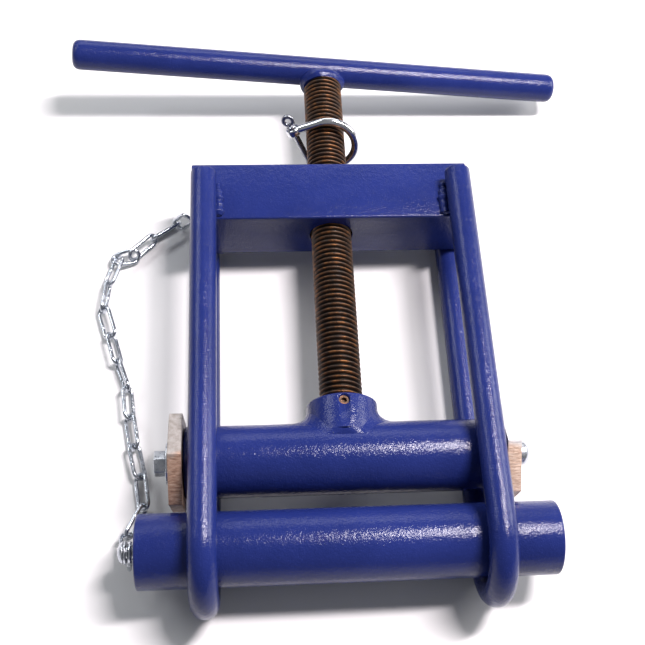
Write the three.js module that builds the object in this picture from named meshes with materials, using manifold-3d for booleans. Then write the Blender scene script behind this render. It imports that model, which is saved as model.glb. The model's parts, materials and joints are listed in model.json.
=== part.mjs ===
// Pipe squeeze-off tool: two round bars, the lower one held in two welded U rods, the upper one
// driven down by a screw, with hexagonal stop plates, a retaining chain and a shackle.
// Millimetres, +Z up. The tool lies on its back, so +Y runs along the screw towards the handle.
import * as THREE from 'three';
import { mergeVertices } from 'three/addons/utils/BufferGeometryUtils.js';
import Module from 'manifold-3d';

const wasm = await Module();
wasm.setup();

const DEGREE = Math.PI / 180;
const GAP = 0.3;                      // clearance between pieces that touch

// Squeeze bars
const BAR_RADIUS = 16;
const BAR_OPENING = 7.24;             // gap between the two bars as the tool lies
const UPPER_Y = 2 * BAR_RADIUS + BAR_OPENING;
const LOWER_BAR_LENGTH = 180.9;
const LOWER_BAR_X = -0.25;
const UPPER_BAR_LENGTH = 139.8;
const UPPER_BAR_X = -0.85;            // the upper bar sits slightly left of the screw
const BAR_CHAMFER = 1.2;

// Welded frame
const ROD_RADIUS = 6.25;
const ROD_SPACING = 124.3;
const ROD_DEPTH = BAR_RADIUS + GAP + ROD_RADIUS;
const ROD_TOP = 179.2;
const BEAM_SIDE = 32;
const BEAM_LENGTH = ROD_SPACING + 2 * ROD_RADIUS;
const BEAM_TOP = 189.05;
const BEAM_Y = BEAM_TOP - BEAM_SIDE / 2;

// Screw, handle and collar
const SCREW_RADIUS = 10;
const SPIGOT_RADIUS = 8;
const GROOVE_RADIUS = 5.6;
const GROOVE_WIDTH = 4.8;
const HANDLE_RADIUS = 7.75;
const HANDLE_LENGTH = 263.4;
const HANDLE_Y = 261.6;
const HANDLE_TURN = 6.1;              // degrees about the screw, left end forward
const COLLAR_RADIUS = 16.3;
const COLLAR_TOP = 64.5;
const COLLAR_SKIRT = 46;
const SPIGOT_END = 45;
const SPIGOT_HOLE_END = 42;
const GRUB_Y = 61.3;
const GRUB_RADIUS = 2.3;

// Stop plates and the screws they turn on
const PLATE_RADIUS = 23;
const PLATE_THICKNESS = 6;
const PLATE_TURN = { left: 10, right: 6 };
const PIVOT_RADIUS = 3;
const BUSH_RADIUS = 5;
const WASHER_RADIUS = 9.2;
const WASHER_THICKNESS = 1.5;
const HEX_ACROSS_FLATS = 10;
const HEX_THICKNESS = 5;

// Lower bar's end screw, which holds the chain
const END_SCREW_RADIUS = 2.5;
const END_HEAD_RADIUS = 4.9;

// Chain
const WIRE_RADIUS = 1;
const LINK_LENGTH = 19.5;
const LINK_WIDTH = 8.5;
const LINK_SLACK = 0.4;               // play left in each joint between links
const FLOOR_Z = -(ROD_DEPTH + ROD_RADIUS);

// Shackle
const BOW_WIRE_RADIUS = 2.15;
const BOW_RADIUS = 13.6;
const SHACKLE_Y = 212.5;
const SHACKLE_TURN = -27;
const SHACKLE_TILT = -20;
const PIN_RADIUS = 1.6;
const PIN_OFFSET = -12.4;             // pin's distance from the screw axis
const CROWN_OFFSET = 2.07;
const LUG_RADIUS = 3.7;

const paint = new THREE.MeshStandardMaterial({ color: 0x2b348f, roughness: 0.32, metalness: 0.1 });
const steel = new THREE.MeshStandardMaterial({ color: 0xa79f9a, roughness: 0.45, metalness: 0.9 });
const darkSteel = new THREE.MeshStandardMaterial({ color: 0x3a2f28, roughness: 0.6, metalness: 0.7 });
const zinc = new THREE.MeshStandardMaterial({ color: 0xc4c8cf, roughness: 0.25, metalness: 1.0 });
const brass = new THREE.MeshStandardMaterial({ color: 0xb08d4a, roughness: 0.4, metalness: 1.0 });

// The tool's group has its origin on the lower bar's axis. The model's own origin is under the
// middle of the tool, on the surface that the two rear legs lie on.
const tool = new THREE.Group();
const LENGTH_Y = HANDLE_Y + HANDLE_RADIUS - FLOOR_Z;
tool.position.set(0, -(HANDLE_Y + HANDLE_RADIUS - LENGTH_Y / 2), -FLOOR_Z);

function addPart(name, geometry, material, parent = tool) {
  const mesh = new THREE.Mesh(geometry, material);
  mesh.name = name;
  parent.add(mesh);
  return mesh;
}

function solid(geometry) {
  const bare = geometry.clone();
  bare.deleteAttribute('normal');
  bare.deleteAttribute('uv');
  const merged = mergeVertices(bare, 1e-4);
  return new wasm.Manifold(new wasm.Mesh({
    numProp: 3,
    vertProperties: new Float32Array(merged.attributes.position.array),
    triVerts: new Uint32Array(merged.index.array),
  }));
}

function toGeometry(manifold) {
  const mesh = manifold.getMesh();
  const geometry = new THREE.BufferGeometry();
  geometry.setAttribute('position', new THREE.BufferAttribute(mesh.vertProperties, 3));
  geometry.setIndex(new THREE.BufferAttribute(mesh.triVerts, 1));
  geometry.computeVertexNormals();
  return geometry;
}

function cut(base, ...tools) {
  return toGeometry(tools.reduce((body, item) => body.subtract(solid(item)), solid(base)));
}

function join(first, ...others) {
  return toGeometry(others.reduce((body, item) => body.add(solid(item)), solid(first)));
}

// Round bodies: a profile of [radius, height] corners turned about Y, from bottom to top.
function turned(profile, segments = 24) {
  const corners = profile.map(([radius, height]) => new THREE.Vector2(radius, height));
  return new THREE.LatheGeometry(corners, segments);
}

function disc(radius, from, to, segments = 24) {
  return turned([[0, from], [radius, from], [radius, to], [0, to]], segments);
}

function chamferedBar(radius, length, chamfer, segments) {
  const end = length / 2;
  return turned([[0, -end], [radius - chamfer, -end], [radius, -end + chamfer],
    [radius, end - chamfer], [radius - chamfer, end], [0, end]], segments);
}

const alongX = (geometry) => geometry.rotateZ(-90 * DEGREE);
const alongZ = (geometry) => geometry.rotateX(90 * DEGREE);

function ringX(inner, outer, from, to) {
  return alongX(turned([[inner, from], [outer, from], [outer, to], [inner, to], [inner, from]]));
}

function hexagonX(acrossFlats, from, to) {
  const radius = acrossFlats / 2 / Math.cos(30 * DEGREE);
  return alongX(disc(radius, from, to, 6));
}

// A round wire or rod swept along an open curve.
function swept(curve, radius, steps, sides) {
  const section = new THREE.Shape().absarc(0, 0, radius, 0, 2 * Math.PI);
  return new THREE.ExtrudeGeometry(section,
    { steps, curveSegments: sides / 2, bevelEnabled: false, extrudePath: curve });
}

// A U in the XZ plane: two legs that run to x = legEnd and a half circle about x = crown,
// bulging towards +X. The middle of the parameter's range is the bend.
class UCurve extends THREE.Curve {
  constructor(legEnd, crown, radius) {
    super();
    Object.assign(this, { legEnd, crown, radius });
  }

  getUtoTmapping(u) {
    return u;
  }

  getPoint(t) {
    const leg = 1 / 16;
    const along = t < leg ? t / leg : (1 - t) / leg;
    if (along < 1) {
      const x = this.legEnd + (this.crown - this.legEnd) * along;
      return new THREE.Vector3(x, 0, t < leg ? this.radius : -this.radius);
    }
    const angle = Math.PI * (0.5 - (t - leg) / (1 - 2 * leg));
    return new THREE.Vector3(this.crown + this.radius * Math.cos(angle), 0, this.radius * Math.sin(angle));
  }
}

// A closed oval in the XY plane, long along X, twisted about X by twist from end to end.
class LinkCurve extends THREE.Curve {
  constructor(length, width, twist = 0) {
    super();
    this.bend = width / 2 - WIRE_RADIUS;
    this.straight = (length - width) / 2;
    this.twist = twist;
  }

  getUtoTmapping(u) {
    return u;
  }

  getPoint(t) {
    const bendShare = 0.375;
    const half = (t % 1) * 2;
    const side = half < 1 ? 1 : -1;
    const local = half % 1;
    let x = this.straight;
    let y = this.bend;
    if (local < 2 * bendShare) {
      const angle = Math.PI * (local / (2 * bendShare) - 0.5);
      x += this.bend * Math.cos(angle);
      y *= Math.sin(angle);
    } else {
      x *= 1 - 2 * (local - 2 * bendShare) / (1 - 2 * bendShare);
    }
    const roll = this.twist * x / (this.straight + this.bend) / 2 * DEGREE;
    return new THREE.Vector3(side * x, side * y * Math.cos(roll), side * y * Math.sin(roll));
  }
}

function linkGeometry(width = LINK_WIDTH, length = LINK_LENGTH, twist = 0) {
  return new THREE.TubeGeometry(new LinkCurve(length, width, twist), 16, WIRE_RADIUS, 6, true);
}

function buildFrame() {
  const beam = new THREE.BoxGeometry(BEAM_LENGTH, BEAM_SIDE, BEAM_SIDE).translate(0, BEAM_Y, 0);
  const bore = disc(SCREW_RADIUS + GAP, BEAM_TOP - BEAM_SIDE - 1, BEAM_TOP + 1, 32);
  addPart('top_beam', cut(beam, bore), paint);
  for (const [name, side] of [['left_u_rod', -1], ['right_u_rod', 1]]) {
    const rod = swept(new UCurve(-ROD_TOP, 0, ROD_DEPTH), ROD_RADIUS, 16, 20).rotateZ(-90 * DEGREE);
    addPart(name, rod.translate(side * ROD_SPACING / 2, 0, 0), paint);
  }
}

function buildScrew() {
  const half = GROOVE_WIDTH / 2;
  const shoulder = COLLAR_TOP + GAP;
  addPart('power_screw', turned([[0, SPIGOT_END], [SPIGOT_RADIUS - 1, SPIGOT_END],
    [SPIGOT_RADIUS, SPIGOT_END + 1], [SPIGOT_RADIUS, GRUB_Y - half], [GROOVE_RADIUS, GRUB_Y - half],
    [GROOVE_RADIUS, GRUB_Y + half - 1], [SPIGOT_RADIUS, GRUB_Y + half], [SPIGOT_RADIUS, shoulder],
    [SCREW_RADIUS, shoulder], [SCREW_RADIUS, HANDLE_Y - HANDLE_RADIUS - GAP],
    [0, HANDLE_Y - HANDLE_RADIUS - GAP]], 32), darkSteel);
  const round = 5;
  const end = HANDLE_LENGTH / 2;
  const profile = [[0, -end]];
  for (const sign of [-1, 1]) {
    for (let step = 0; step <= 4; step += 1) {
      const angle = (sign < 0 ? step : 4 - step) * 22.5 * DEGREE;
      profile.push([HANDLE_RADIUS - round + round * Math.sin(angle),
        sign * (end - round + round * Math.cos(angle))]);
    }
  }
  profile.push([0, end]);
  const handle = alongX(turned(profile, 24)).rotateY(HANDLE_TURN * DEGREE).translate(0, HANDLE_Y, 0);
  addPart('tee_handle', handle, paint);
}

function buildJaw() {
  const hole = SPIGOT_RADIUS + GAP;
  const bar = alongX(chamferedBar(BAR_RADIUS, UPPER_BAR_LENGTH, BAR_CHAMFER, 32));
  bar.translate(UPPER_BAR_X, UPPER_Y, 0);
  const pivotHole = alongX(disc(PIVOT_RADIUS + GAP, -25, 25, 20));
  const ends = [-1, 1].map((side) => pivotHole.clone()
    .translate(UPPER_BAR_X + side * UPPER_BAR_LENGTH / 2, UPPER_Y, 0));
  const spigotHole = disc(hole, SPIGOT_HOLE_END, UPPER_Y + 2 * BAR_RADIUS);
  addPart('upper_bar', cut(bar, ...ends, spigotHole), paint);
  addPart('thrust_pad', disc(hole - 0.7, SPIGOT_HOLE_END + GAP, SPIGOT_END - GAP), brass);

  const collar = turned([[0, COLLAR_SKIRT], [COLLAR_RADIUS, COLLAR_SKIRT],
    [COLLAR_RADIUS, COLLAR_TOP - 1], [COLLAR_RADIUS - 1, COLLAR_TOP], [0, COLLAR_TOP]], 32);
  const saddle = alongX(disc(BAR_RADIUS + GAP, -40, 40, 32)).translate(0, UPPER_Y, 0);
  const bore = disc(hole, COLLAR_SKIRT - 5, COLLAR_TOP + 5);
  const crossHole = alongZ(disc(GRUB_RADIUS + GAP, 0, COLLAR_RADIUS + 2, 16)).translate(0, GRUB_Y, 0);
  addPart('screw_collar', cut(collar, saddle, bore, crossHole), paint);

  const grub = alongZ(turned([[0, GROOVE_RADIUS + GAP], [1.2, GROOVE_RADIUS + GAP],
    [1.2, SPIGOT_RADIUS], [GRUB_RADIUS, SPIGOT_RADIUS + 0.7], [GRUB_RADIUS, 14.6], [0, 14.6]], 16));
  const socket = alongZ(disc(1.4, 12.4, 16, 6));
  addPart('retaining_grub_screw', cut(grub, socket).translate(0, GRUB_Y, 0), darkSteel);
}

function hexagonPlate(turn) {
  const outline = new THREE.Shape();
  for (let corner = 0; corner < 6; corner += 1) {
    const angle = (turn + 60 * corner) * DEGREE;
    const point = [PLATE_RADIUS * Math.cos(angle), PLATE_RADIUS * Math.sin(angle)];
    if (corner === 0) outline.moveTo(...point);
    else outline.lineTo(...point);
  }
  outline.holes.push(new THREE.Path().absarc(0, 0, BUSH_RADIUS + GAP, 0, 2 * Math.PI));
  const plate = new THREE.ExtrudeGeometry(outline,
    { depth: PLATE_THICKNESS, curveSegments: 16, bevelEnabled: false });
  return plate.translate(0, 0, -PLATE_THICKNESS / 2).rotateY(90 * DEGREE);
}

function buildStops() {
  for (const [name, side] of [['left', -1], ['right', 1]]) {
    const end = new THREE.Group();
    end.position.set(UPPER_BAR_X + side * UPPER_BAR_LENGTH / 2, UPPER_Y, 0);
    if (side < 0) end.rotation.z = Math.PI;
    tool.add(end);
    const plateEnd = GAP + PLATE_THICKNESS;
    const washerEnd = plateEnd + GAP + WASHER_THICKNESS;
    const headStart = washerEnd + GAP;
    const plate = hexagonPlate(side < 0 ? -PLATE_TURN.left : PLATE_TURN.right);
    addPart(`${name}_stop_plate`, plate.translate(GAP + PLATE_THICKNESS / 2, 0, 0), steel, end);
    addPart(`${name}_pivot_bush`, ringX(PIVOT_RADIUS + GAP, BUSH_RADIUS, GAP, plateEnd), brass, end);
    addPart(`${name}_plate_washer`,
      ringX(PIVOT_RADIUS + GAP, WASHER_RADIUS, plateEnd + GAP, washerEnd), zinc, end);
    if (side < 0) {
      const shank = alongX(disc(PIVOT_RADIUS, -23, headStart + 1, 20));
      const head = hexagonX(HEX_ACROSS_FLATS, headStart, headStart + HEX_THICKNESS);
      addPart('left_pivot_bolt', join(head, shank), zinc, end);
    } else {
      const stud = alongX(disc(PIVOT_RADIUS, -23, headStart + HEX_THICKNESS - 0.6, 20));
      addPart('right_pivot_stud', stud, zinc, end);
      const bore = alongX(disc(PIVOT_RADIUS + GAP, 0, headStart + HEX_THICKNESS - GAP, 20));
      const cap = alongX(turned([[0, headStart], [5.6, headStart], [5.6, headStart + 4],
        [4.4, headStart + HEX_THICKNESS + 0.4], [2.4, headStart + HEX_THICKNESS + 1],
        [0, headStart + HEX_THICKNESS + 1]], 24));
      addPart('right_lock_nut', cut(cap, bore), zinc, end);
    }
  }
}

function buildLowerBar() {
  const endX = LOWER_BAR_X - LOWER_BAR_LENGTH / 2;
  const bar = alongX(chamferedBar(BAR_RADIUS, LOWER_BAR_LENGTH, BAR_CHAMFER, 32)).translate(LOWER_BAR_X, 0, 0);
  const hole = alongX(disc(END_SCREW_RADIUS + GAP, -22, 22, 20)).translate(endX, 0, 0);
  addPart('lower_bar', cut(bar, hole), paint);
  const end = new THREE.Group();
  end.position.set(endX, 0, 0);
  end.rotation.z = Math.PI;
  tool.add(end);
  const inner = END_SCREW_RADIUS + GAP;
  addPart('end_screw_spacer', ringX(inner, 4.6, GAP, 1.1), zinc, end);
  addPart('end_screw_washer', ringX(inner, END_HEAD_RADIUS, 4.3, 5.2), zinc, end);
  const shank = disc(END_SCREW_RADIUS, -20, 6, 20);
  const head = turned([[0, 5.5], [END_HEAD_RADIUS - 0.2, 5.5], [END_HEAD_RADIUS - 0.2, 6],
    [4.1, 7], [2.4, 7.7], [0, 7.9]]);
  addPart('end_screw', alongX(join(head, shank)), zinc, end);
  addEndLink(endX - 2.85);
}

// The chain lies in loose bends beside the tool. Each link has its heading in degrees from -Y
// towards -X, its roll about its own length and how far it climbs. The links are joined end to
// end, so these give every joint's place, starting at the link that is welded to the frame.
const LINK_PITCH = LINK_LENGTH - 4 * WIRE_RADIUS - LINK_SLACK;
const CHAIN_START = new THREE.Vector3(-77.7, 180.4, FLOOR_Z + LINK_WIDTH / 2 + 0.1);
const TWISTED_PITCH = 6.5;
const LINKS = [
  ['b', 55, 64.4, 0], ['c', 45, -65.3, 0], ['twisted', 76, 143.2, 0], ['d', 19, 39.7, 0],
  ['e', 7, 98, 0], ['f', -16.5, 34, 0], ['g', -15.5, -54, 0], ['h', -19, 72, 0],
  ['i', -6.5, -55, 0], ['j', -9.5, 46, 0], ['k', -13, -44, 0], ['l', -8, 40, 0],
  ['m', 25.9, -74, 2.35], ['n', -11, -12, 8.6],
];
// The anchor link's two ends, measured from the chain's first joint. Its upper end is welded on.
const ANCHOR_TOP = new THREE.Vector3(5.97, -5.39, 13.72);
const ANCHOR_BOTTOM = new THREE.Vector3(0.05, -1.13, 0.5);
const ANCHOR_ROLL = 87.8;
const END_LINK_LENGTH = 21.6;
const END_LINK_WIDTH = 9.8;
const END_LINK_LEAN = 6;              // degrees that the end link hangs out from the bar's end

// Places a link's middle between two points, with its length along them and a roll about it.
function layLink(mesh, from, to, roll) {
  const along = to.clone().sub(from).normalize();
  const across = new THREE.Vector3(0, 0, 1).cross(along).normalize();
  const up = along.clone().cross(across);
  mesh.position.copy(from).add(to).multiplyScalar(0.5);
  mesh.quaternion.setFromRotationMatrix(new THREE.Matrix4().makeBasis(along, across, up));
  mesh.rotateX(roll * DEGREE);
}

function buildChain() {
  const joint = CHAIN_START.clone();
  const anchor = addPart('chain_anchor_link', linkGeometry(), zinc);
  layLink(anchor, joint.clone().add(ANCHOR_TOP), joint.clone().add(ANCHOR_BOTTOM), ANCHOR_ROLL);
  for (const [name, heading, roll, climb] of LINKS) {
    const twisted = name === 'twisted';
    const pitch = twisted ? TWISTED_PITCH : LINK_PITCH;
    const reach = Math.sqrt(pitch * pitch - climb * climb);
    const next = joint.clone().add(new THREE.Vector3(
      -reach * Math.sin(heading * DEGREE), -reach * Math.cos(heading * DEGREE), climb));
    const geometry = twisted ? linkGeometry(LINK_WIDTH, 16, 80) : linkGeometry();
    layLink(addPart(`chain_link_${name}`, geometry, zinc), joint, next, roll);
    joint.copy(next);
  }
}

// The end link hangs round the lower bar's end screw, in a plane across the bar.
function addEndLink(x) {
  const drop = END_LINK_LENGTH / 2 - WIRE_RADIUS - (END_SCREW_RADIUS + WIRE_RADIUS + GAP);
  const link = new THREE.Group();
  link.position.set(x, 0, 0);
  link.rotation.y = END_LINK_LEAN * DEGREE;
  tool.add(link);
  const geometry = linkGeometry(END_LINK_WIDTH, END_LINK_LENGTH).rotateY(90 * DEGREE);
  addPart('chain_end_link', geometry.translate(0, 0, -drop), zinc, link);
}

function buildShackle() {
  const shackle = new THREE.Group();
  shackle.position.set(0, SHACKLE_Y, 0);
  shackle.rotation.set(SHACKLE_TILT * DEGREE, SHACKLE_TURN * DEGREE, 0, 'YXZ');
  tool.add(shackle);
  const bow = swept(new UCurve(PIN_OFFSET + 1.5, CROWN_OFFSET, BOW_RADIUS), BOW_WIRE_RADIUS, 16, 16);
  const lugs = [-1, 1].map((side) => alongZ(disc(LUG_RADIUS, -BOW_WIRE_RADIUS, BOW_WIRE_RADIUS, 16))
    .translate(PIN_OFFSET, 0, side * BOW_RADIUS));
  const hole = alongZ(disc(PIN_RADIUS + GAP, -20, 20, 16)).translate(PIN_OFFSET, 0, 0);
  addPart('shackle_bow', cut(join(bow, ...lugs), hole), zinc, shackle);
  const lugFace = BOW_RADIUS + BOW_WIRE_RADIUS;
  const shank = alongZ(disc(PIN_RADIUS, -lugFace - 1.2, lugFace + 2.4, 16));
  const collar = alongZ(disc(2.6, lugFace + GAP, lugFace + 1.2, 16));
  const eye = disc(3.5, -0.9, 0.9, 16).translate(0, 0, lugFace + 4.5);
  const eyeHole = disc(1.5, -2, 2, 12).translate(0, 0, lugFace + 4.9);
  const pin = cut(join(shank, collar, eye), eyeHole).rotateZ(35 * DEGREE);
  addPart('shackle_pin', pin.translate(PIN_OFFSET, 0, 0), zinc, shackle);
}

buildFrame();
buildScrew();
buildJaw();
buildStops();
buildLowerBar();
buildChain();
buildShackle();

export default tool;
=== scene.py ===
"""Looks of a pipe squeeze-off tool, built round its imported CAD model. Metres, in the model's own frame:
+X along the squeeze bars, +Y along the screw towards the T-handle, +Z up from the floor."""

import json
import math

import bmesh
import bpy
import numpy as np
from mathutils import Matrix, Vector

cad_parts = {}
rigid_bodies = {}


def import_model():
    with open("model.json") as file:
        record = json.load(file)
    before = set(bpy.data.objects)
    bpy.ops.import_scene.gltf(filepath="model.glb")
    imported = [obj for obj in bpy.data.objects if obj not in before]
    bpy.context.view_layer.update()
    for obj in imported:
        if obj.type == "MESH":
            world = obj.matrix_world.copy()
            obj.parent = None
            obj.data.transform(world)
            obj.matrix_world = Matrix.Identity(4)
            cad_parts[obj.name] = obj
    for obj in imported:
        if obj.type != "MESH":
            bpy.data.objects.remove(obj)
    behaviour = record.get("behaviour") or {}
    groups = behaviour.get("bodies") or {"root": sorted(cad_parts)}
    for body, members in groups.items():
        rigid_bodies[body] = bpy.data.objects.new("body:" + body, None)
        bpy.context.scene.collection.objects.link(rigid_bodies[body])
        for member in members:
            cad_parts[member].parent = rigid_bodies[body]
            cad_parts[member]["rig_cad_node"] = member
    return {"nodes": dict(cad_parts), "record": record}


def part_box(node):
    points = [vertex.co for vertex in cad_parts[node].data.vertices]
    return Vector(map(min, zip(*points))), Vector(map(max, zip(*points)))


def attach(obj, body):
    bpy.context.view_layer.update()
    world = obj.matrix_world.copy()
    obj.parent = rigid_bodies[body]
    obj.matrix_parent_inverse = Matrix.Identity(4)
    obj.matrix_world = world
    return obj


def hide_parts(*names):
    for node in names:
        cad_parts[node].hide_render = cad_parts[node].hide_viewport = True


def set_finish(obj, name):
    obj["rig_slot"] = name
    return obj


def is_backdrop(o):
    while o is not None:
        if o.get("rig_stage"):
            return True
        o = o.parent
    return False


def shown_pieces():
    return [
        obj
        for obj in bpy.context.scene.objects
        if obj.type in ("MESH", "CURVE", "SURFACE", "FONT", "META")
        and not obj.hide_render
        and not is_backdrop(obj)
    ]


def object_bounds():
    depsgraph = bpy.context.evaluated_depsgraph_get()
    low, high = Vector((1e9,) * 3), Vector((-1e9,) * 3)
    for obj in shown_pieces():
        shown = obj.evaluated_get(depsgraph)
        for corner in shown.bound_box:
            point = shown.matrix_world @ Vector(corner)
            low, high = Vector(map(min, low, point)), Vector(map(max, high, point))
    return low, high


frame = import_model()
CAD_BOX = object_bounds()
RECORD = frame["record"]
BODY_OF = {node: body for body, nodes in RECORD["behaviour"]["bodies"].items() for node in nodes}
SLOT_OF = {row["node"]: row["material_slot"] for row in RECORD["subparts"]}
MM = 0.001

# Camera: the photograph's place, aim and roll
CAMERA_PLACE = Vector((-40.2, -246.3, 476.2)) * MM
CAMERA_AIM = Vector((1.136, -12.468, 28.8)) * MM
CAMERA_ROLL = math.radians(7.76)
CAMERA_LENS = 59.28
CAMERA_SENSOR = 36
CAMERA_SHIFT_X = -0.0253

# Sizes that the node boxes don't give, as in the CAD model
THREAD_PITCH = 2.5 * MM
THREAD_RADIUS = 9.98 * MM
THREAD_DEPTHS = (0.0, 0.0, 0.5, 1.1, 1.5, 1.5, 1.1, 0.5)    # mm, round one pitch from crest to crest
SPIGOT_RADIUS = 8 * MM
GROOVE_RADIUS = 5.6 * MM
COLLAR_RADIUS = 16.3 * MM
COLLAR_BORE = 8.3 * MM
GRUB_HOLE_RADIUS = 2.6 * MM
LINK_WIRE = 1 * MM
TWISTED_LINK_WIDTH = 8.5 * MM
TWIST = math.radians(80)
BOW_WIRE = 2.15 * MM
LUG_RADIUS = 3.7 * MM
PIN_RADIUS = 1.6 * MM
PIN_COLLAR_RADIUS = 2.6 * MM
EYE_RADIUS = 3.5 * MM
EYE_HOLE_RADIUS = 1.5 * MM
EYE_HALF_THICKNESS = 0.9 * MM
PIVOT_HOLE_RADIUS = 3.3 * MM
END_SCREW_HOLE_RADIUS = 2.8 * MM
END_SCREW_HOLE_DEPTH = 22 * MM
END_SCREW_SHANK_RADIUS = 2.5 * MM

# Edge roundings and small fits
BEAM_EDGE = 1.0 * MM
ROD_EDGE = 0.7 * MM
UPPER_BAR_EDGE = 1.3 * MM
LOWER_BAR_EDGE = 1.1 * MM
PLATE_EDGE = 0.45 * MM
HANDLE_EDGE = 4.4 * MM
HANDLE_TRIM = 0.15 * MM      # keeps the tilted handle inside the CAD box
ROD_TRIM = 0.02 * MM

# Soft lights: name, place, size across and up, power, colour. All of them aim at the middle of the tool.
LIGHTS = (
    ("key", (0.42, 0.12, 1.1), (0.10, 0.42), 26, (1.0, 0.93, 0.95)),
    ("left_strip", (-0.75, 0.55, 0.8), (0.8, 0.12), 5, (0.95, 0.97, 1.0)),
    ("right", (1.0, 0.25, 0.55), (0.5, 0.5), 9, (1.0, 0.98, 0.97)),
    ("top", (0.1, 1.3, 0.75), (1.0, 0.4), 5, (0.97, 0.98, 1.0)),
)
WORLD_COLOUR = (0.93, 0.95, 1.0, 1)
WORLD_STRENGTH = 0.24
FLOOR_HALF_SIDE = 4.0


# ---------------------------------------------------------------- mesh helpers

def piece(name, vertices, faces, node, angle=40):
    """A smooth-shaded mesh that rides on the node's body and takes its slot."""
    mesh = bpy.data.meshes.new(name)
    mesh.from_pydata([tuple(v) for v in vertices], [], faces)
    obj = bpy.data.objects.new(name, mesh)
    bpy.context.scene.collection.objects.link(obj)
    return finish_piece(obj, node, angle)


def finish_piece(obj, node, angle=40):
    """Shades a piece smooth up to an angle in degrees and ties it to its body and slot."""
    edit = bmesh.new()
    edit.from_mesh(obj.data)
    bmesh.ops.remove_doubles(edit, verts=edit.verts, dist=1e-7)
    bmesh.ops.recalc_face_normals(edit, faces=edit.faces)
    for face in edit.faces:
        face.smooth = True
    for edge in edit.edges:
        edge.smooth = not edge.is_manifold or edge.calc_face_angle(0) < math.radians(angle)
    edit.to_mesh(obj.data)
    edit.free()
    obj.data.update()
    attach(obj, BODY_OF[node])
    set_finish(obj, SLOT_OF[node])
    return obj


def filleted(corners, steps=4):
    """A profile of (radius, height, fillet) corners with its corners rounded."""
    points = []
    for i, (r, h, fillet) in enumerate(corners):
        here = Vector((r, h))
        if not fillet:
            points.append(here)
            continue
        before = (Vector(corners[i - 1][:2]) - here).normalized()
        after = (Vector(corners[(i + 1) % len(corners)][:2]) - here).normalized()
        for k in range(steps + 1):
            t = k / steps
            a, b = here + before * fillet, here + after * fillet
            points.append(a * (1 - t) ** 2 + here * 2 * t * (1 - t) + b * t ** 2)
    return points


AXES = {"x": Matrix(((0, 0, 1), (1, 0, 0), (0, 1, 0))),
        "y": Matrix(((0, 1, 0), (0, 0, 1), (1, 0, 0))),
        "z": Matrix.Identity(3)}


def lathe(name, corners, node, centre, axis="x", sides=96, closed=False, turn=None, steps=4):
    """A turned body. A closed profile is a ring; an open one starts and ends on the axis."""
    profile = filleted(corners, steps)
    basis = AXES[axis] if isinstance(axis, str) else axis
    if turn is not None:
        basis = turn @ basis
    vertices, faces = [], []
    for k in range(sides):
        a = 2 * math.pi * k / sides
        for p in profile:
            vertices.append(Vector(centre) + basis @ Vector((p.x * math.cos(a), p.x * math.sin(a), p.y)))
    n = len(profile)
    for k in range(sides):
        for j in range(n if closed else n - 1):
            a, b = k * n + j, k * n + (j + 1) % n
            c, d = ((k + 1) % sides) * n + (j + 1) % n, ((k + 1) % sides) * n + j
            faces.append((a, b, c, d))
    return clean(piece(name, vertices, faces, node))


def clean(obj):
    """Merges the points on a lathe's axis and drops faces with no area."""
    edit = bmesh.new()
    edit.from_mesh(obj.data)
    bmesh.ops.remove_doubles(edit, verts=edit.verts, dist=1e-7)
    bmesh.ops.dissolve_degenerate(edit, edges=edit.edges, dist=1e-7)
    bmesh.ops.recalc_face_normals(edit, faces=edit.faces)
    edit.to_mesh(obj.data)
    edit.free()
    return obj


def sweep(name, path, radius, node, sides=24, closed=False, round_ends=0.0):
    """A round section swept along points. The radius is a number or one number for each point."""
    path = [Vector(p) for p in path]
    count = len(path)
    radii = [radius] * count if isinstance(radius, (int, float)) else list(radius)
    if round_ends and not closed:
        start, end = path[0], path[-1]
        from_start, from_end = (path[1] - start).normalized(), (path[-2] - end).normalized()
        steps = 5
        head, tail, rim = [], [], []
        for k in range(steps):
            a = math.pi / 2 * k / steps
            rim.append(radii[0] - round_ends * (1 - math.sin(a)))
            head.append(start + from_start * round_ends * (1 - math.cos(a)))
            tail.append(end + from_end * round_ends * (1 - math.cos(a)))
        first, last = start + from_start * round_ends, end + from_end * round_ends
        path = head + [first] + path[1:-1] + [last] + tail[::-1]
        radii = rim + radii + rim[::-1]
        count = len(path)
    tangents = []
    for i in range(count):
        before = path[i - 1] if i or closed else path[0]
        after = path[(i + 1) % count] if i < count - 1 or closed else path[-1]
        tangents.append((after - before).normalized())
    normal = tangents[0].orthogonal().normalized()
    frames = []
    for i in range(count):
        if i:
            normal = tangents[i - 1].rotation_difference(tangents[i]) @ normal
        frames.append(normal.copy())
    slip = 0.0
    if closed:
        last = tangents[-1].rotation_difference(tangents[0]) @ normal
        slip = math.atan2(tangents[0].dot(last.cross(frames[0])), last.dot(frames[0]))
    vertices, faces = [], []
    for i in range(count):
        turned = Matrix.Rotation(slip * i / count, 3, tangents[i]) @ frames[i]
        side = tangents[i].cross(turned)
        for k in range(sides):
            a = 2 * math.pi * k / sides
            vertices.append(path[i] + (turned * math.cos(a) + side * math.sin(a)) * radii[i])
    for i in range(count if closed else count - 1):
        for k in range(sides):
            a, b = i * sides + k, i * sides + (k + 1) % sides
            j = (i + 1) % count
            faces.append((a, b, j * sides + (k + 1) % sides, j * sides + k))
    if not closed:
        faces.append(tuple(range(sides))[::-1])
        faces.append(tuple(range((count - 1) * sides, count * sides)))
    return piece(name, vertices, faces, node)


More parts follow.
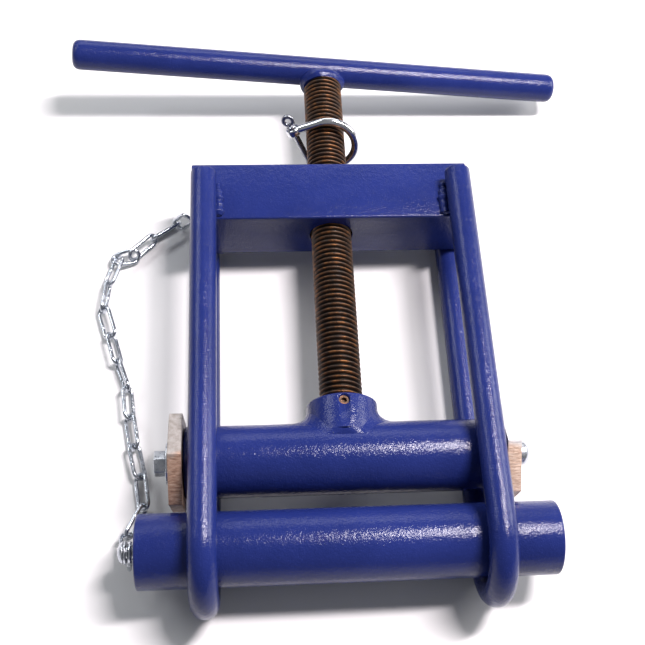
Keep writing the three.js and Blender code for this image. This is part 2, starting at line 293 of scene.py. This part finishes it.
def bevelled_copy(name, node, width, angle=30, segments=3):
    """A copy of a faceted CAD solid with its sharp edges rounded."""
    obj = bpy.data.objects.new(name, frame["nodes"][node].data.copy())
    bpy.context.scene.collection.objects.link(obj)
    edit = bmesh.new()
    edit.from_mesh(obj.data)
    bmesh.ops.remove_doubles(edit, verts=edit.verts, dist=2e-6)
    bmesh.ops.dissolve_limit(edit, angle_limit=math.radians(1), verts=edit.verts, edges=edit.edges)
    sharp = [e for e in edit.edges if e.is_manifold and e.calc_face_angle(0) > math.radians(angle)]
    bmesh.ops.bevel(edit, geom=sharp, offset=width, segments=segments, profile=0.6, affect="EDGES",
                    clamp_overlap=True)
    edit.to_mesh(obj.data)
    edit.free()
    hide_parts(node)
    return finish_piece(obj, node)


def carve(obj, cutter):
    """Cuts one mesh out of another and removes the cutter."""
    cut = obj.modifiers.new("cut", "BOOLEAN")
    cut.object = cutter
    cut.solver = "EXACT"
    shaped = bpy.data.meshes.new_from_object(obj.evaluated_get(bpy.context.evaluated_depsgraph_get()))
    obj.modifiers.clear()
    obj.data = shaped
    bpy.data.objects.remove(cutter)
    return obj


def centre_of(node):
    low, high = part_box(node)
    return (low + high) / 2


def main_axes(node):
    """A node's middle and its three main directions, longest spread first, as a right-handed frame."""
    points = np.array([v.co for v in frame["nodes"][node].data.vertices], float)
    points = np.unique(np.round(points, 7), axis=0)
    middle = points.mean(0)
    _, _, axes = np.linalg.svd(points - middle, full_matrices=False)
    first, second = Vector(axes[0]), Vector(axes[1])
    basis = Matrix((first, second, first.cross(second))).transposed()
    local = (points - middle) @ np.array(basis)
    half = (local.max(0) - local.min(0)) / 2
    middle = Vector(middle) + basis @ Vector((local.max(0) + local.min(0)) / 2)
    return middle, basis, half


# ---------------------------------------------------------------- materials

class Nodes:
    """A material's node tree with short calls for the nodes that the finishes share."""

    def __init__(self, name):
        self.material = bpy.data.materials.new(name)
        self.material.use_nodes = True
        self.tree = self.material.node_tree
        self.shader = self.tree.nodes["Principled BSDF"]
        self.place = self.tree.nodes.new("ShaderNodeTexCoord").outputs["Object"]

    def link(self, output, target):
        self.tree.links.new(output, target)

    def set(self, **values):
        for key, value in values.items():
            self.shader.inputs[key.replace("_", " ")].default_value = value

    def stretched(self, scale):
        mapping = self.tree.nodes.new("ShaderNodeMapping")
        mapping.inputs["Scale"].default_value = scale
        self.link(self.place, mapping.inputs["Vector"])
        return mapping.outputs["Vector"]

    def noise(self, scale, detail=2.0, roughness=0.5, stretch=None):
        noise = self.tree.nodes.new("ShaderNodeTexNoise")
        noise.inputs["Scale"].default_value = scale
        noise.inputs["Detail"].default_value = detail
        noise.inputs["Roughness"].default_value = roughness
        self.link(self.stretched(stretch) if stretch else self.place, noise.inputs["Vector"])
        return noise.outputs["Fac"]

    def ramp(self, factor, *stops):
        ramp = self.tree.nodes.new("ShaderNodeValToRGB")
        elements = ramp.color_ramp.elements
        while len(elements) < len(stops):
            elements.new(0.5)
        for element, (position, value) in zip(elements, stops):
            element.position = position
            element.color = (*value, 1) if isinstance(value, tuple) else (value, value, value, 1)
        self.link(factor, ramp.inputs["Fac"])
        return ramp.outputs["Color"]

    def mix(self, factor, a, b):
        mix = self.tree.nodes.new("ShaderNodeMix")
        mix.data_type = "RGBA"
        for socket, value in ((mix.inputs["Factor"], factor), (mix.inputs[6], a), (mix.inputs[7], b)):
            if isinstance(value, bpy.types.NodeSocket):
                self.link(value, socket)
            else:
                socket.default_value = (*value, 1) if isinstance(value, tuple) else value
        return mix.outputs[2]

    def math(self, kind, a, b=0.0):
        node = self.tree.nodes.new("ShaderNodeMath")
        node.operation = kind
        for socket, value in zip(node.inputs, (a, b)):
            if isinstance(value, bpy.types.NodeSocket):
                self.link(value, socket)
            else:
                socket.default_value = value
        return node.outputs["Value"]

    def part(self, axis):
        split = self.tree.nodes.new("ShaderNodeSeparateXYZ")
        self.link(self.place, split.inputs["Vector"])
        return split.outputs[axis]

    def bump(self, height, strength, distance, under=None):
        bump = self.tree.nodes.new("ShaderNodeBump")
        bump.inputs["Strength"].default_value = strength
        bump.inputs["Distance"].default_value = distance
        self.link(height, bump.inputs["Height"])
        if under:
            self.link(under, bump.inputs["Normal"])
        return bump.outputs["Normal"]

    def wear(self, output, name):
        self.link(output, self.shader.inputs[name])


def enamel():
    """Deep blue sprayed enamel: faint clouds, fine pale flecks painted into the colour as painted glints, and
    an orange-peel surface.
    """
    n = Nodes("blue_enamel")
    n.set(Metallic=0.0, Specular_IOR_Level=0.42, IOR=1.34)
    clouds = n.ramp(n.noise(22, 3, 0.6), (0.3, (0.0075, 0.014, 0.086)), (0.7, (0.0115, 0.020, 0.116)))
    # Painted highlight: fine pale flecks in the base colour stand in for the small glints of the orange peel.
    glint_flecks = n.ramp(n.noise(2600, 1, 0.5), (0.66, 0.0), (0.74, 0.4))
    base = n.mix(glint_flecks, clouds, (0.045, 0.06, 0.26))
    n.wear(base, "Base Color")
    n.wear(n.ramp(n.noise(160, 2), (0.3, 0.13), (0.7, 0.21)), "Roughness")
    coarse = n.bump(n.noise(420, 2, 0.55), 0.38, 0.0005)
    n.wear(n.bump(n.noise(1300, 2, 0.65), 0.5, 0.0003, coarse), "Normal")
    return n.material


def threaded_steel(centre):
    """Oiled steel, dark brown with rusty patches on its crests; towards the thread's roots the colour goes
    nearly black, which is painted shade.
    """
    depth = 1.4 * MM
    n = Nodes("oiled_screw_steel")
    n.set(Metallic=0.85)
    across = n.math("SUBTRACT", n.part("X"), centre.x)
    up = n.math("SUBTRACT", n.part("Z"), centre.z)
    square = n.math("ADD", n.math("MULTIPLY", across, across), n.math("MULTIPLY", up, up))
    radius = n.math("SQRT", square)
    # Painted shade: this mask runs from the thread's roots, painted nearly black, to its crests, which take
    # the steel colour.
    crest = n.math("DIVIDE", n.math("SUBTRACT", radius, THREAD_RADIUS - depth), depth)
    stain = n.noise(240, 4, 0.65)
    metal = n.ramp(stain, (0.32, (0.26, 0.11, 0.04)), (0.5, (0.10, 0.056, 0.034)),
                   (0.68, (0.05, 0.042, 0.038)))
    n.wear(n.mix(n.ramp(crest, (0.25, 0.0), (0.85, 1.0)), (0.012, 0.009, 0.007), metal), "Base Color")
    n.wear(n.ramp(n.noise(900, 3), (0.3, 0.34), (0.7, 0.56)), "Roughness")
    n.wear(n.bump(n.noise(1800, 3, 0.6), 0.3, 0.0002), "Normal")
    return n.material


def plate_steel(centre):
    """Grey above the corner, brown below it, and fine cutting marks. The right plate takes lighter copies of
    the same colours, as painted light.
    """
    wander_size, fade = 12 * MM, 12 * MM
    along_cut = (0.4, 2.2, 1)
    n = Nodes("plate_steel")
    n.set(Metallic=0.55)
    height = n.math("SUBTRACT", n.part("Y"), centre.y)
    wander = n.math("MULTIPLY", n.math("SUBTRACT", n.noise(90, 3), 0.5), wander_size)
    low = n.ramp(n.math("DIVIDE", n.math("ADD", height, wander), -fade), (0.15, 0.0), (0.45, 1.0))
    # Painted light: right of the bar's middle the plate gets lighter copies of its colours, standing in for
    # the stronger light on that side.
    right = n.math("GREATER_THAN", n.part("X"), centre_of("upper_bar").x)
    grey = n.ramp(n.noise(350, 4, 0.7), (0.3, (0.24, 0.21, 0.19)), (0.7, (0.42, 0.39, 0.37)))
    rust = n.ramp(n.noise(900, 4, 0.7, stretch=along_cut), (0.3, (0.19, 0.10, 0.07)),
                  (0.5, (0.40, 0.25, 0.18)), (0.72, (0.60, 0.44, 0.35)))
    lit_grey = n.ramp(n.noise(350, 4, 0.7), (0.3, (0.58, 0.56, 0.56)), (0.7, (0.82, 0.80, 0.80)))
    lit_rust = n.ramp(n.noise(900, 4, 0.7, stretch=along_cut), (0.3, (0.42, 0.24, 0.16)),
                        (0.55, (0.80, 0.60, 0.47)), (0.72, (0.90, 0.76, 0.66)))
    n.wear(n.mix(low, n.mix(right, grey, lit_grey), n.mix(right, rust, lit_rust)), "Base Color")
    n.wear(n.ramp(n.noise(500, 3), (0.3, 0.36), (0.7, 0.6)), "Roughness")
    marks = n.noise(1400, 2, 0.5, stretch=(0.15, 1, 1))
    n.wear(n.bump(marks, 0.45, 0.0004), "Normal")
    return n.material


def bright_metal(name, dark, light, rough):
    """Plated or polished metal between two colours and two roughnesses, with a fine grain."""
    grain = 900
    n = Nodes(name)
    n.set(Metallic=1.0)
    n.wear(n.ramp(n.noise(grain / 4, 3, 0.6), (0.3, dark), (0.7, light)), "Base Color")
    n.wear(n.ramp(n.noise(grain, 2), (0.3, rough[0]), (0.7, rough[1])), "Roughness")
    n.wear(n.bump(n.noise(grain, 3, 0.6), 0.15, 0.0002), "Normal")
    return n.material


FINISHES = {
    "blue_enamel": enamel(),
    "oiled_screw_steel": threaded_steel(centre_of("power_screw")),
    "plate_steel": plate_steel(centre_of("left_stop_plate")),
    "zinc_plate": bright_metal("zinc_plate", (0.42, 0.45, 0.50), (0.66, 0.68, 0.72), (0.24, 0.38)),
    "chain_steel": bright_metal("chain_steel", (0.34, 0.37, 0.41), (0.62, 0.65, 0.70), (0.16, 0.28)),
    "shackle_steel": bright_metal("shackle_steel", (0.58, 0.60, 0.63), (0.86, 0.87, 0.89), (0.12, 0.22)),
    "shackle_pin_steel": bright_metal("shackle_pin_steel", (0.24, 0.25, 0.28), (0.46, 0.47, 0.50),
                                      (0.24, 0.36)),
    "bronze": bright_metal("bronze", (0.42, 0.27, 0.12), (0.62, 0.44, 0.22), (0.3, 0.42)),
}


# ---------------------------------------------------------------- frame

def weld(name, path, radius, node, ripple=0.10, pitch=2.6 * MM):
    """A weld bead: a swept blob whose width ripples along its length."""
    radii, run = [], 0.0
    for i, point in enumerate(path):
        if i:
            run += (point - path[i - 1]).length
        here = radius if isinstance(radius, (int, float)) else radius[i]
        wave = abs(math.sin(math.pi * run / pitch)) - 0.5
        wobble = math.sin(run * 1900 + 1.3) * 0.5 + math.sin(run * 830) * 0.5
        radii.append(here * (1 + ripple * wave + 0.06 * wobble))
    return sweep(name, path, radii, node, sides=20, round_ends=radii[0] * 0.7)


def line(a, b, count):
    a, b = Vector(a), Vector(b)
    return [a.lerp(b, i / (count - 1)) for i in range(count)]


def build_frame():
    low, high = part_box("top_beam")
    middle = (low + high) / 2
    bevelled_copy("beam", "top_beam", BEAM_EDGE)
    rods = {side: build_rod(side) for side in ("left", "right")}
    for side, sign in (("left", -1), ("right", 1)):
        x, rod_top, radius = rods[side]
        for face, out in (("front", 1), ("back", -1)):
            height = middle.z + out * ((high.z - low.z) / 2 + 0.5 * MM)
            build_rod_welds(f"{side}_{face}", f"{side}_u_rod", x, height, low.y, rod_top, radius, sign, out)


def build_rod(side):
    """A U rod: two straight legs joined by a half circle. Returns its place, top and radius."""
    node = f"{side}_u_rod"
    low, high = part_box(node)
    radius = (high.x - low.x) / 2
    x, z = (low.x + high.x) / 2, (low.z + high.z) / 2
    bend = (high.z - low.z) / 2 - radius
    crown = low.y + radius + bend
    path = line((x, high.y, z + bend), (x, crown + 1 * MM, z + bend), 24)
    path += [Vector((x, crown - bend * math.sin(t), z + bend * math.cos(t)))
             for t in np.linspace(0, math.pi, 49)]
    path += line((x, crown + 1 * MM, z - bend), (x, high.y, z - bend), 24)
    rod = sweep(f"{side}_rod", path, radius - ROD_TRIM, node, sides=48, round_ends=ROD_EDGE)
    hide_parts(node)
    return x, high.y, radius


def build_rod_welds(name, node, x, height, beam_low, rod_top, radius, sign, out):
    """A wide uneven bead inside the rod, thinner towards the rod's top, and a narrow one outside."""
    count = 90
    inner = x - sign * (radius + 0.5 * MM)
    foot = (inner - sign * 0.4 * MM, beam_low + 0.9 * MM, height)
    path = line(foot, (inner, rod_top - 2.5 * MM, height), count)
    size = []
    for k in range(count):
        width = (2.9 - 0.9 * k / (count - 1)) * MM
        uneven = 1 + 0.24 * math.sin(0.23 * k + sign) * math.sin(0.09 * k + out)
        size.append(width * uneven * math.sin(math.pi * (k + 3) / 95) ** 0.3)
    weld(f"{name}_weld", path, size, node, ripple=0.05, pitch=5.2 * MM)
    outer = x + sign * (radius - 1.9 * MM)
    path = line((outer, beam_low + 2 * MM, height), (outer, rod_top - 2 * MM, height), 60)
    weld(f"{name}_outer_weld", path, 1.6 * MM, node)


# ---------------------------------------------------------------- screw, handle and jaw

def build_screw():
    low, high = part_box("power_screw")
    middle = (low + high) / 2
    start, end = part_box("screw_collar")[1].y + 0.3 * MM, high.y
    build_thread(middle, start, end)

    groove = centre_of("retaining_grub_screw").y
    lathe("screw_spigot", [(0, low.y, 0), (SPIGOT_RADIUS, low.y, 1 * MM),
                           (SPIGOT_RADIUS, groove - 2.4 * MM, 0.2 * MM),
                           (GROOVE_RADIUS, groove - 2.4 * MM, 0.2 * MM),
                           (GROOVE_RADIUS, groove + 2.0 * MM, 0.2 * MM),
                           (SPIGOT_RADIUS, groove + 2.6 * MM, 0.2 * MM), (SPIGOT_RADIUS, start + 0.2 * MM, 0),
                           (0, start + 0.2 * MM, 0)],
          "power_screw", (middle.x, 0, middle.z), "y", 64)

    centre, basis, half = main_axes("tee_handle")
    radius, length = (half[1] + half[2]) / 2, half[0] - HANDLE_TRIM
    along = basis.col[0] * (1 if basis.col[0].x > 0 else -1)
    turn = Vector((1, 0, 0)).rotation_difference(along).to_matrix()
    handle = lathe("handle_bar", [(0, -length, 0), (radius, -length, HANDLE_EDGE),
                                  (radius, length, HANDLE_EDGE), (0, length, 0)],
                   "tee_handle", centre, "x", 96, turn=turn, steps=8)
    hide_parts("tee_handle")
    build_handle_boss(middle, centre, radius, turn)


def build_thread(middle, start, end):
    """One helical skin: each row of points is a step of the tooth's profile, and a turn climbs a pitch."""
    count = len(THREAD_DEPTHS)
    turns = (end - start) / THREAD_PITCH
    around, rows = 72, int((turns + 2) * count)
    vertices, faces = [], []
    for row in range(rows):
        for k in range(around):
            a = 2 * math.pi * k / around
            y = start + THREAD_PITCH * ((row - count) / count + k / around)
            run_out = min(1.0, max(0.25, (y - start) / THREAD_PITCH))
            r = THREAD_RADIUS - THREAD_DEPTHS[row % count] * MM * run_out
            y = min(max(y, start), end)
            vertices.append((middle.x + r * math.cos(a), y, middle.z + r * math.sin(a)))
    for row in range(rows - 1):
        for k in range(around - 1):
            a = row * around + k
            faces.append((a, a + 1, a + around + 1, a + around))
        a = row * around + around - 1
        if row + count + 1 < rows:
            faces.append((a, (row + count) * around, (row + count + 1) * around, a + around))
    thread = piece("screw_thread", vertices, faces, "power_screw", angle=60)
    clean(thread)
    cap_ends(thread)
    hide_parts("power_screw")


def cap_ends(obj):
    """Closes the open rims of a mesh."""
    edit = bmesh.new()
    edit.from_mesh(obj.data)
    rim = [e for e in edit.edges if e.is_boundary]
    bmesh.ops.holes_fill(edit, edges=rim, sides=0)
    bmesh.ops.recalc_face_normals(edit, faces=edit.faces)
    edit.to_mesh(obj.data)
    edit.free()


def build_handle_boss(middle, centre, radius, turn):
    """The weld that fills the corner between the screw's end and the handle."""
    rings, around = 22, 72
    vertices, faces = [], []
    for i in range(rings):
        t = i / (rings - 1)
        y = centre.y - radius - 3.6 * MM + t * (radius + 2.0 * MM)
        for k in range(around):
            a = 2 * math.pi * k / around
            swell = math.sin(math.pi * min(1.0, t * 1.35)) * 1.7 * MM
            wobble = (math.sin(3 * a + 6 * t) + math.sin(7 * a - 4 * t + 1)) * 0.16 * MM
            across = 10.1 * MM + swell + wobble + 1.2 * MM * t
            deep = 10.2 * MM + swell * 0.8 + wobble - 4.6 * MM * t * t
            spot = turn @ Vector((across * math.cos(a), 0, deep * math.sin(a)))
            vertices.append((middle.x + spot.x, y, middle.z + spot.z))
    for i in range(rings - 1):
        for k in range(around):
            b = (k + 1) % around
            faces.append((i * around + k, i * around + b, (i + 1) * around + b, (i + 1) * around + k))
    faces.append(tuple(range(around))[::-1])
    faces.append(tuple(range((rings - 1) * around, rings * around)))
    piece("handle_weld", vertices, faces, "tee_handle")


def build_jaw():
    low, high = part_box("upper_bar")
    middle, radius = (low + high) / 2, (high.z - low.z) / 2
    half = (high.x - low.x) / 2
    c_low, c_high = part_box("screw_collar")
    collar_at = (c_low + c_high) / 2
    bar = lathe("upper_squeeze_bar", [(0, -half, 0), (radius, -half, UPPER_BAR_EDGE),
                                      (radius, half, UPPER_BAR_EDGE), (0, half, 0)],
                "upper_bar", middle, "x", 128)
    pad_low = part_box("thrust_pad")[0].y
    bore = lathe("cutter", [(0, pad_low - 0.3 * MM, 0), (COLLAR_BORE, pad_low - 0.3 * MM, 0),
                            (COLLAR_BORE, high.y + 5 * MM, 0), (0, high.y + 5 * MM, 0)],
                 "upper_bar", (collar_at.x, 0, collar_at.z), "y", 64)
    carve(bar, bore)
    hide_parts("upper_bar")

    collar = lathe("collar", [(COLLAR_BORE, c_low.y + 6 * MM, 0), (COLLAR_RADIUS, c_low.y + 2 * MM, 0),
                              (COLLAR_RADIUS, c_high.y, 1.0 * MM), (COLLAR_BORE, c_high.y, 0.5 * MM)],
                   "screw_collar", (collar_at.x, 0, collar_at.z), "y", 96, closed=True)
    grub = centre_of("retaining_grub_screw")
    inside, outside = 4 * MM, 20 * MM
    cutter = lathe("cutter", [(0, inside, 0), (GRUB_HOLE_RADIUS, inside, 0), (GRUB_HOLE_RADIUS, outside, 0),
                              (0, outside, 0)],
                   "screw_collar", (grub.x, grub.y, collar_at.z), "z", 48)
    carve(collar, cutter)
    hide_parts("screw_collar")

    build_collar_weld(collar_at, c_low.y, middle, radius)


def build_collar_weld(collar_at, skirt, bar, radius):
    """A concave weld fillet from the collar's wall down onto the bar, wide along the bar's crest."""
    around, steps = 240, 8
    buried = 0.93        # how far in the hidden inner points lie
    vertices, faces = [], []
    for k in range(around):
        a = 2 * math.pi * k / around
        side, front = math.cos(a), math.sin(a)
        flare = abs(side) ** 1.3
        wave = (0.16 * MM * math.sin(46 * a) * flare + 0.22 * MM * math.sin(5 * a + 1)
                + 0.14 * MM * math.sin(11 * a))
        wall_z = min(abs(front) * COLLAR_RADIUS, radius * 0.999)
        contact = max(bar.y + math.sqrt(radius ** 2 - wall_z ** 2), skirt)
        wall_y = contact + (1.4 + 3.6 * flare) * MM + wave
        wall = Vector((COLLAR_RADIUS * side, wall_y, COLLAR_RADIUS * front))
        reach = COLLAR_RADIUS + (0.4 + 7.4 * flare) * MM + wave
        foot_z = min(abs(front) * reach, radius * 0.93)
        foot_y = bar.y + math.sqrt(radius ** 2 - foot_z ** 2)
        foot = Vector((reach * side, foot_y, math.copysign(foot_z, front)))
        corner = Vector((wall.x, foot.y, wall.z))
        control = wall.lerp(foot, 0.5).lerp(corner, 0.15 + 0.6 * flare)
        ring = []
        for i in range(steps + 1):
            t = i / steps
            ring.append(wall * (1 - t) ** 2 + control * 2 * t * (1 - t) + foot * t ** 2)
        ring.append(Vector((foot.x * buried, foot.y - 1.2 * MM, foot.z * buried)))
        ring.append(Vector((wall.x * buried, wall.y - 0.8 * MM, wall.z * buried)))
        for point in ring:
            vertices.append((collar_at.x + point.x, point.y, bar.z + point.z))
    n = steps + 3
    for k in range(around):
        for i in range(n):
            j, m = (k + 1) % around, (i + 1) % n
            faces.append((k * n + i, k * n + m, j * n + m, j * n + i))
    piece("collar_weld", vertices, faces, "screw_collar", angle=60)


def build_stops():
    for side in ("left", "right"):
        bevelled_copy(f"{side}_plate", f"{side}_stop_plate", PLATE_EDGE)
        washer = f"{side}_plate_washer"
        low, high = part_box(washer)
        at = (low + high) / 2
        outer = (high.z - low.z) / 2
        ring = lathe(f"{side}_washer", [(PIVOT_HOLE_RADIUS, low.x - at.x, 0.2 * MM),
                                        (outer, low.x - at.x, 0.35 * MM), (outer, high.x - at.x, 0.35 * MM),
                                        (PIVOT_HOLE_RADIUS, high.x - at.x, 0.2 * MM)],
                     washer, at, "x", 72, closed=True)
        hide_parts(washer)
    bevelled_copy("left_bolt", "left_pivot_bolt", PLATE_EDGE, angle=40)
    low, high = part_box("right_lock_nut")
    at = (low + high) / 2
    radius, length = (high.z - low.z) / 2, high.x - low.x
    nut = lathe("right_nut", [(PIVOT_HOLE_RADIUS, 0, 0), (radius, 0, 0.3 * MM),
                              (radius, length * 0.62, 0.8 * MM), (radius * 0.72, length * 0.93, 1.2 * MM),
                              (0, length, 0), (0, length - 0.8 * MM, 0),
                              (PIVOT_HOLE_RADIUS, length - 1.4 * MM, 0)],
                "right_lock_nut", (low.x, at.y, at.z), "x", 72)
    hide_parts("right_lock_nut")


# ---------------------------------------------------------------- lower bar and its end screw

def build_lower_bar():
    low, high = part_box("lower_bar")
    middle, radius = (low + high) / 2, (high.z - low.z) / 2
    half = (high.x - low.x) / 2
    bar = lathe("lower_squeeze_bar", [(0, -half, 0), (radius, -half, LOWER_BAR_EDGE),
                                      (radius, half, LOWER_BAR_EDGE), (0, half, 0)],
                "lower_bar", middle, "x", 128)
    mouth, bottom = -half - 5 * MM, -half + END_SCREW_HOLE_DEPTH
    cutter = lathe("cutter", [(0, mouth, 0), (END_SCREW_HOLE_RADIUS, mouth, 0),
                              (END_SCREW_HOLE_RADIUS, bottom, 0), (0, bottom, 0)],
                   "lower_bar", middle, "x", 48)
    carve(bar, cutter)
    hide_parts("lower_bar")
    for node in ("end_screw_spacer", "end_screw_washer"):
        a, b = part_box(node)
        at = (a + b) / 2
        outer = (b.z - a.z) / 2
        ring = lathe(node + "_ring", [(END_SCREW_HOLE_RADIUS, a.x - at.x, 0.1 * MM),
                                      (outer, a.x - at.x, 0.2 * MM), (outer, b.x - at.x, 0.2 * MM),
                                      (END_SCREW_HOLE_RADIUS, b.x - at.x, 0.1 * MM)],
                     node, at, "x", 64, closed=True)
        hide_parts(node)
    a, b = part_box("end_screw")
    at = (a + b) / 2
    head = (b.z - a.z) / 2
    screw = lathe("bar_end_screw", [(0, 0, 0), (head * 0.42, 0.05 * MM, 0.2 * MM),
                                    (head * 0.78, 0.75 * MM, 0.5 * MM), (head, 1.9 * MM, 0.3 * MM),
                                    (head, 2.4 * MM, 0.1 * MM), (END_SCREW_SHANK_RADIUS, 2.4 * MM, 0.1 * MM),
                                    (END_SCREW_SHANK_RADIUS, b.x - a.x, 0.3 * MM), (0, b.x - a.x, 0)],
                  "end_screw", (a.x, at.y, at.z), "x", 72)
    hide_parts("end_screw")


# ---------------------------------------------------------------- chain and shackle

def oval(half_length, half_width, wire, twist, steps=72):
    """Centre line of a link: two half circles and two straights, twisted from end to end."""
    bend = half_width - wire
    straight = half_length - half_width
    lengths = [math.pi * bend, 2 * straight]
    total = 2 * sum(lengths)
    points = []
    for i in range(steps):
        run = total * i / steps
        flip = 1
        if run >= total / 2:
            run -= total / 2
            flip = -1
        if run < lengths[0]:
            a = run / bend - math.pi / 2
            x, y = straight + bend * math.cos(a), bend * math.sin(a)
        else:
            x, y = straight - (run - lengths[0]), bend
        x, y = flip * x, flip * y
        roll = twist * x / (straight + bend) / 2
        points.append(Vector((x, y * math.cos(roll), y * math.sin(roll))))
    return points


def build_chain():
    """Wire links round the CAD links' own axes, each with a small butt seam, except the twisted one."""
    for node in [n for n in frame["nodes"] if n.startswith("chain_")]:
        middle, basis, half = main_axes(node)
        twisted = node.endswith("twisted")
        width = TWISTED_LINK_WIDTH / 2 if twisted else half[1]
        path = [middle + basis @ p for p in oval(half[0], width, LINK_WIRE, TWIST if twisted else 0.0)]
        link = sweep(node.replace("chain_", "wire_"), path, LINK_WIRE, node, sides=20, closed=True)
        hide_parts(node)
        if not twisted:
            seam = middle + basis @ Vector((1.2 * MM, half[1] - LINK_WIRE, 0))
            along = basis.col[0] * 1.0 * MM
            spread = np.linspace(-1, 1, 11)
            path = [seam + along * t for t in spread]
            size = [LINK_WIRE * (0.96 + 0.16 * math.sqrt(max(0, 1 - t * t))) for t in spread]
            sweep(node.replace("chain_", "seam_"), path, size, node, sides=20)


def build_shackle():
    """A bow with two lugs and a screw pin with a ring eye, in axes taken from the two CAD meshes."""
    pin_at, pin_basis, _ = main_axes("shackle_pin")
    points = np.array([v.co for v in frame["nodes"]["shackle_bow"].data.vertices], float)
    bow_middle = Vector(points.mean(0))
    line_of_pin = pin_basis.col[0]
    if line_of_pin.dot(pin_at - bow_middle) < 0:
        line_of_pin = -line_of_pin
    out = bow_middle - pin_at
    out = (out - line_of_pin * out.dot(line_of_pin)).normalized()
    basis = Matrix((out, line_of_pin.cross(out), line_of_pin)).transposed()
    local = (points - np.array(pin_at)) @ np.array(basis)
    low, high = local.min(0), local.max(0)
    centre = (low[2] + high[2]) / 2
    radius = (high[2] - low[2]) / 2 - BOW_WIRE
    lug = low[0] + LUG_RADIUS
    crown = high[0] - radius - BOW_WIRE
    flat = (low[1] + high[1]) / 2

    def place(x, y, z):
        return pin_at + basis @ Vector((x, flat + y, centre + z))

    arc = [(crown + radius * math.cos(t), 0, radius * math.sin(t))
           for t in np.linspace(math.pi / 2, -math.pi / 2, 49)]
    legs = [(x, 0, radius) for x in np.linspace(lug + 1.5 * MM, crown, 9)[:-1]]
    path = legs + arc + [(x, y, -z) for x, y, z in legs[::-1]]
    bow = sweep("shackle_wire", [place(*p) for p in path], BOW_WIRE, "shackle_bow", sides=28)
    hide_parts("shackle_bow")
    edge, hole = BOW_WIRE * 0.98, PIN_RADIUS + 0.3 * MM
    for name, side in (("shackle_lug_a", 1), ("shackle_lug_b", -1)):
        lathe(name, [(hole, -edge, 0.2 * MM), (LUG_RADIUS, -edge, 0.9 * MM),
                     (LUG_RADIUS, edge, 0.9 * MM), (hole, edge, 0.2 * MM)],
              "shackle_bow", place(lug, 0, side * radius), basis, 56, closed=True)

    face = radius + BOW_WIRE
    foot = -face - 1.2 * MM
    seat, neck = face + 0.1 * MM, face + 2.6 * MM
    pin = lathe("pin_shank", [(0, foot, 0), (PIN_RADIUS, foot, 0.4 * MM), (PIN_RADIUS, seat, 0.05 * MM),
                              (PIN_COLLAR_RADIUS, seat, 0.2 * MM),
                              (PIN_COLLAR_RADIUS, face + 1.2 * MM, 0.4 * MM),
                              (EYE_HOLE_RADIUS, face + 1.6 * MM, 0.3 * MM), (EYE_HOLE_RADIUS, neck, 0),
                              (0, neck, 0)],
                "shackle_pin", place(0, -flat, 0), basis, 56)
    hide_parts("shackle_pin")
    across = Matrix((basis.col[2], basis.col[0], basis.col[1])).transposed()
    lathe("pin_eye", [(EYE_HOLE_RADIUS, -EYE_HALF_THICKNESS, 0.6 * MM),
                      (EYE_RADIUS, -EYE_HALF_THICKNESS, 0.85 * MM),
                      (EYE_RADIUS, EYE_HALF_THICKNESS, 0.85 * MM),
                      (EYE_HOLE_RADIUS, EYE_HALF_THICKNESS, 0.6 * MM)],
          "shackle_pin", place(0, -flat, face + 4.5 * MM), across, 64, closed=True)


# ---------------------------------------------------------------- light, floor and camera

def build_stage():
    mesh = bpy.data.meshes.new("floor")
    side = FLOOR_HALF_SIDE
    corners = [(-side, -side, 0), (side, -side, 0), (side, side, 0), (-side, side, 0)]
    mesh.from_pydata(corners, [], [(0, 1, 2, 3)])
    floor = bpy.data.objects.new("floor", mesh)
    bpy.context.scene.collection.objects.link(floor)
    n = Nodes("floor")
    n.set(Roughness=0.9, Specular_IOR_Level=0.2)
    n.wear(n.ramp(n.noise(4, 2), (0.3, (0.66, 0.66, 0.665)), (0.7, (0.68, 0.68, 0.68))), "Base Color")
    mesh.materials.append(n.material)
    floor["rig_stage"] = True


def soft_light(name, place, aim, size, power, colour):
    light = bpy.data.lights.new(name, "AREA")
    light.shape = "RECTANGLE"
    light.size, light.size_y = size
    light.energy = power
    light.color = colour
    obj = bpy.data.objects.new(name, light)
    obj.location = place
    obj.rotation_euler = (Vector(aim) - Vector(place)).to_track_quat("-Z", "Y").to_euler()
    bpy.context.scene.collection.objects.link(obj)


def build_light():
    world = bpy.data.worlds.new("world")
    bpy.context.scene.world = world
    world.use_nodes = True
    background = world.node_tree.nodes["Background"]
    background.inputs["Color"].default_value = WORLD_COLOUR
    background.inputs["Strength"].default_value = WORLD_STRENGTH
    middle = (CAD_BOX[0] + CAD_BOX[1]) / 2
    for name, place, size, power, colour in LIGHTS:
        soft_light(name, place, middle, size, power, colour)


def build_camera():
    data = bpy.data.cameras.new("camera")
    data.lens = CAMERA_LENS
    data.sensor_width = CAMERA_SENSOR
    data.shift_x = CAMERA_SHIFT_X
    data.clip_start, data.clip_end = 0.01, 20
    camera = bpy.data.objects.new("camera", data)
    look = (CAMERA_AIM - CAMERA_PLACE).to_track_quat("-Z", "Y").to_matrix()
    rolled = (look @ Matrix.Rotation(CAMERA_ROLL, 3, "Z")).to_quaternion()
    camera.matrix_world = Matrix.LocRotScale(CAMERA_PLACE, rolled, None)
    bpy.context.scene.collection.objects.link(camera)
    bpy.context.scene.camera = camera


build_camera()
build_light()
build_stage()
build_frame()
build_screw()
build_jaw()
build_stops()
build_lower_bar()
build_chain()
build_shackle()

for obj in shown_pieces():
    name = obj.get("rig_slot") or SLOT_OF[obj["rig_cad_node"]]
    obj.data.materials.clear()
    obj.data.materials.append(FINISHES[name])
    for face in obj.data.polygons:
        face.material_index = 0

bpy.context.scene.view_settings.view_transform = "Standard"
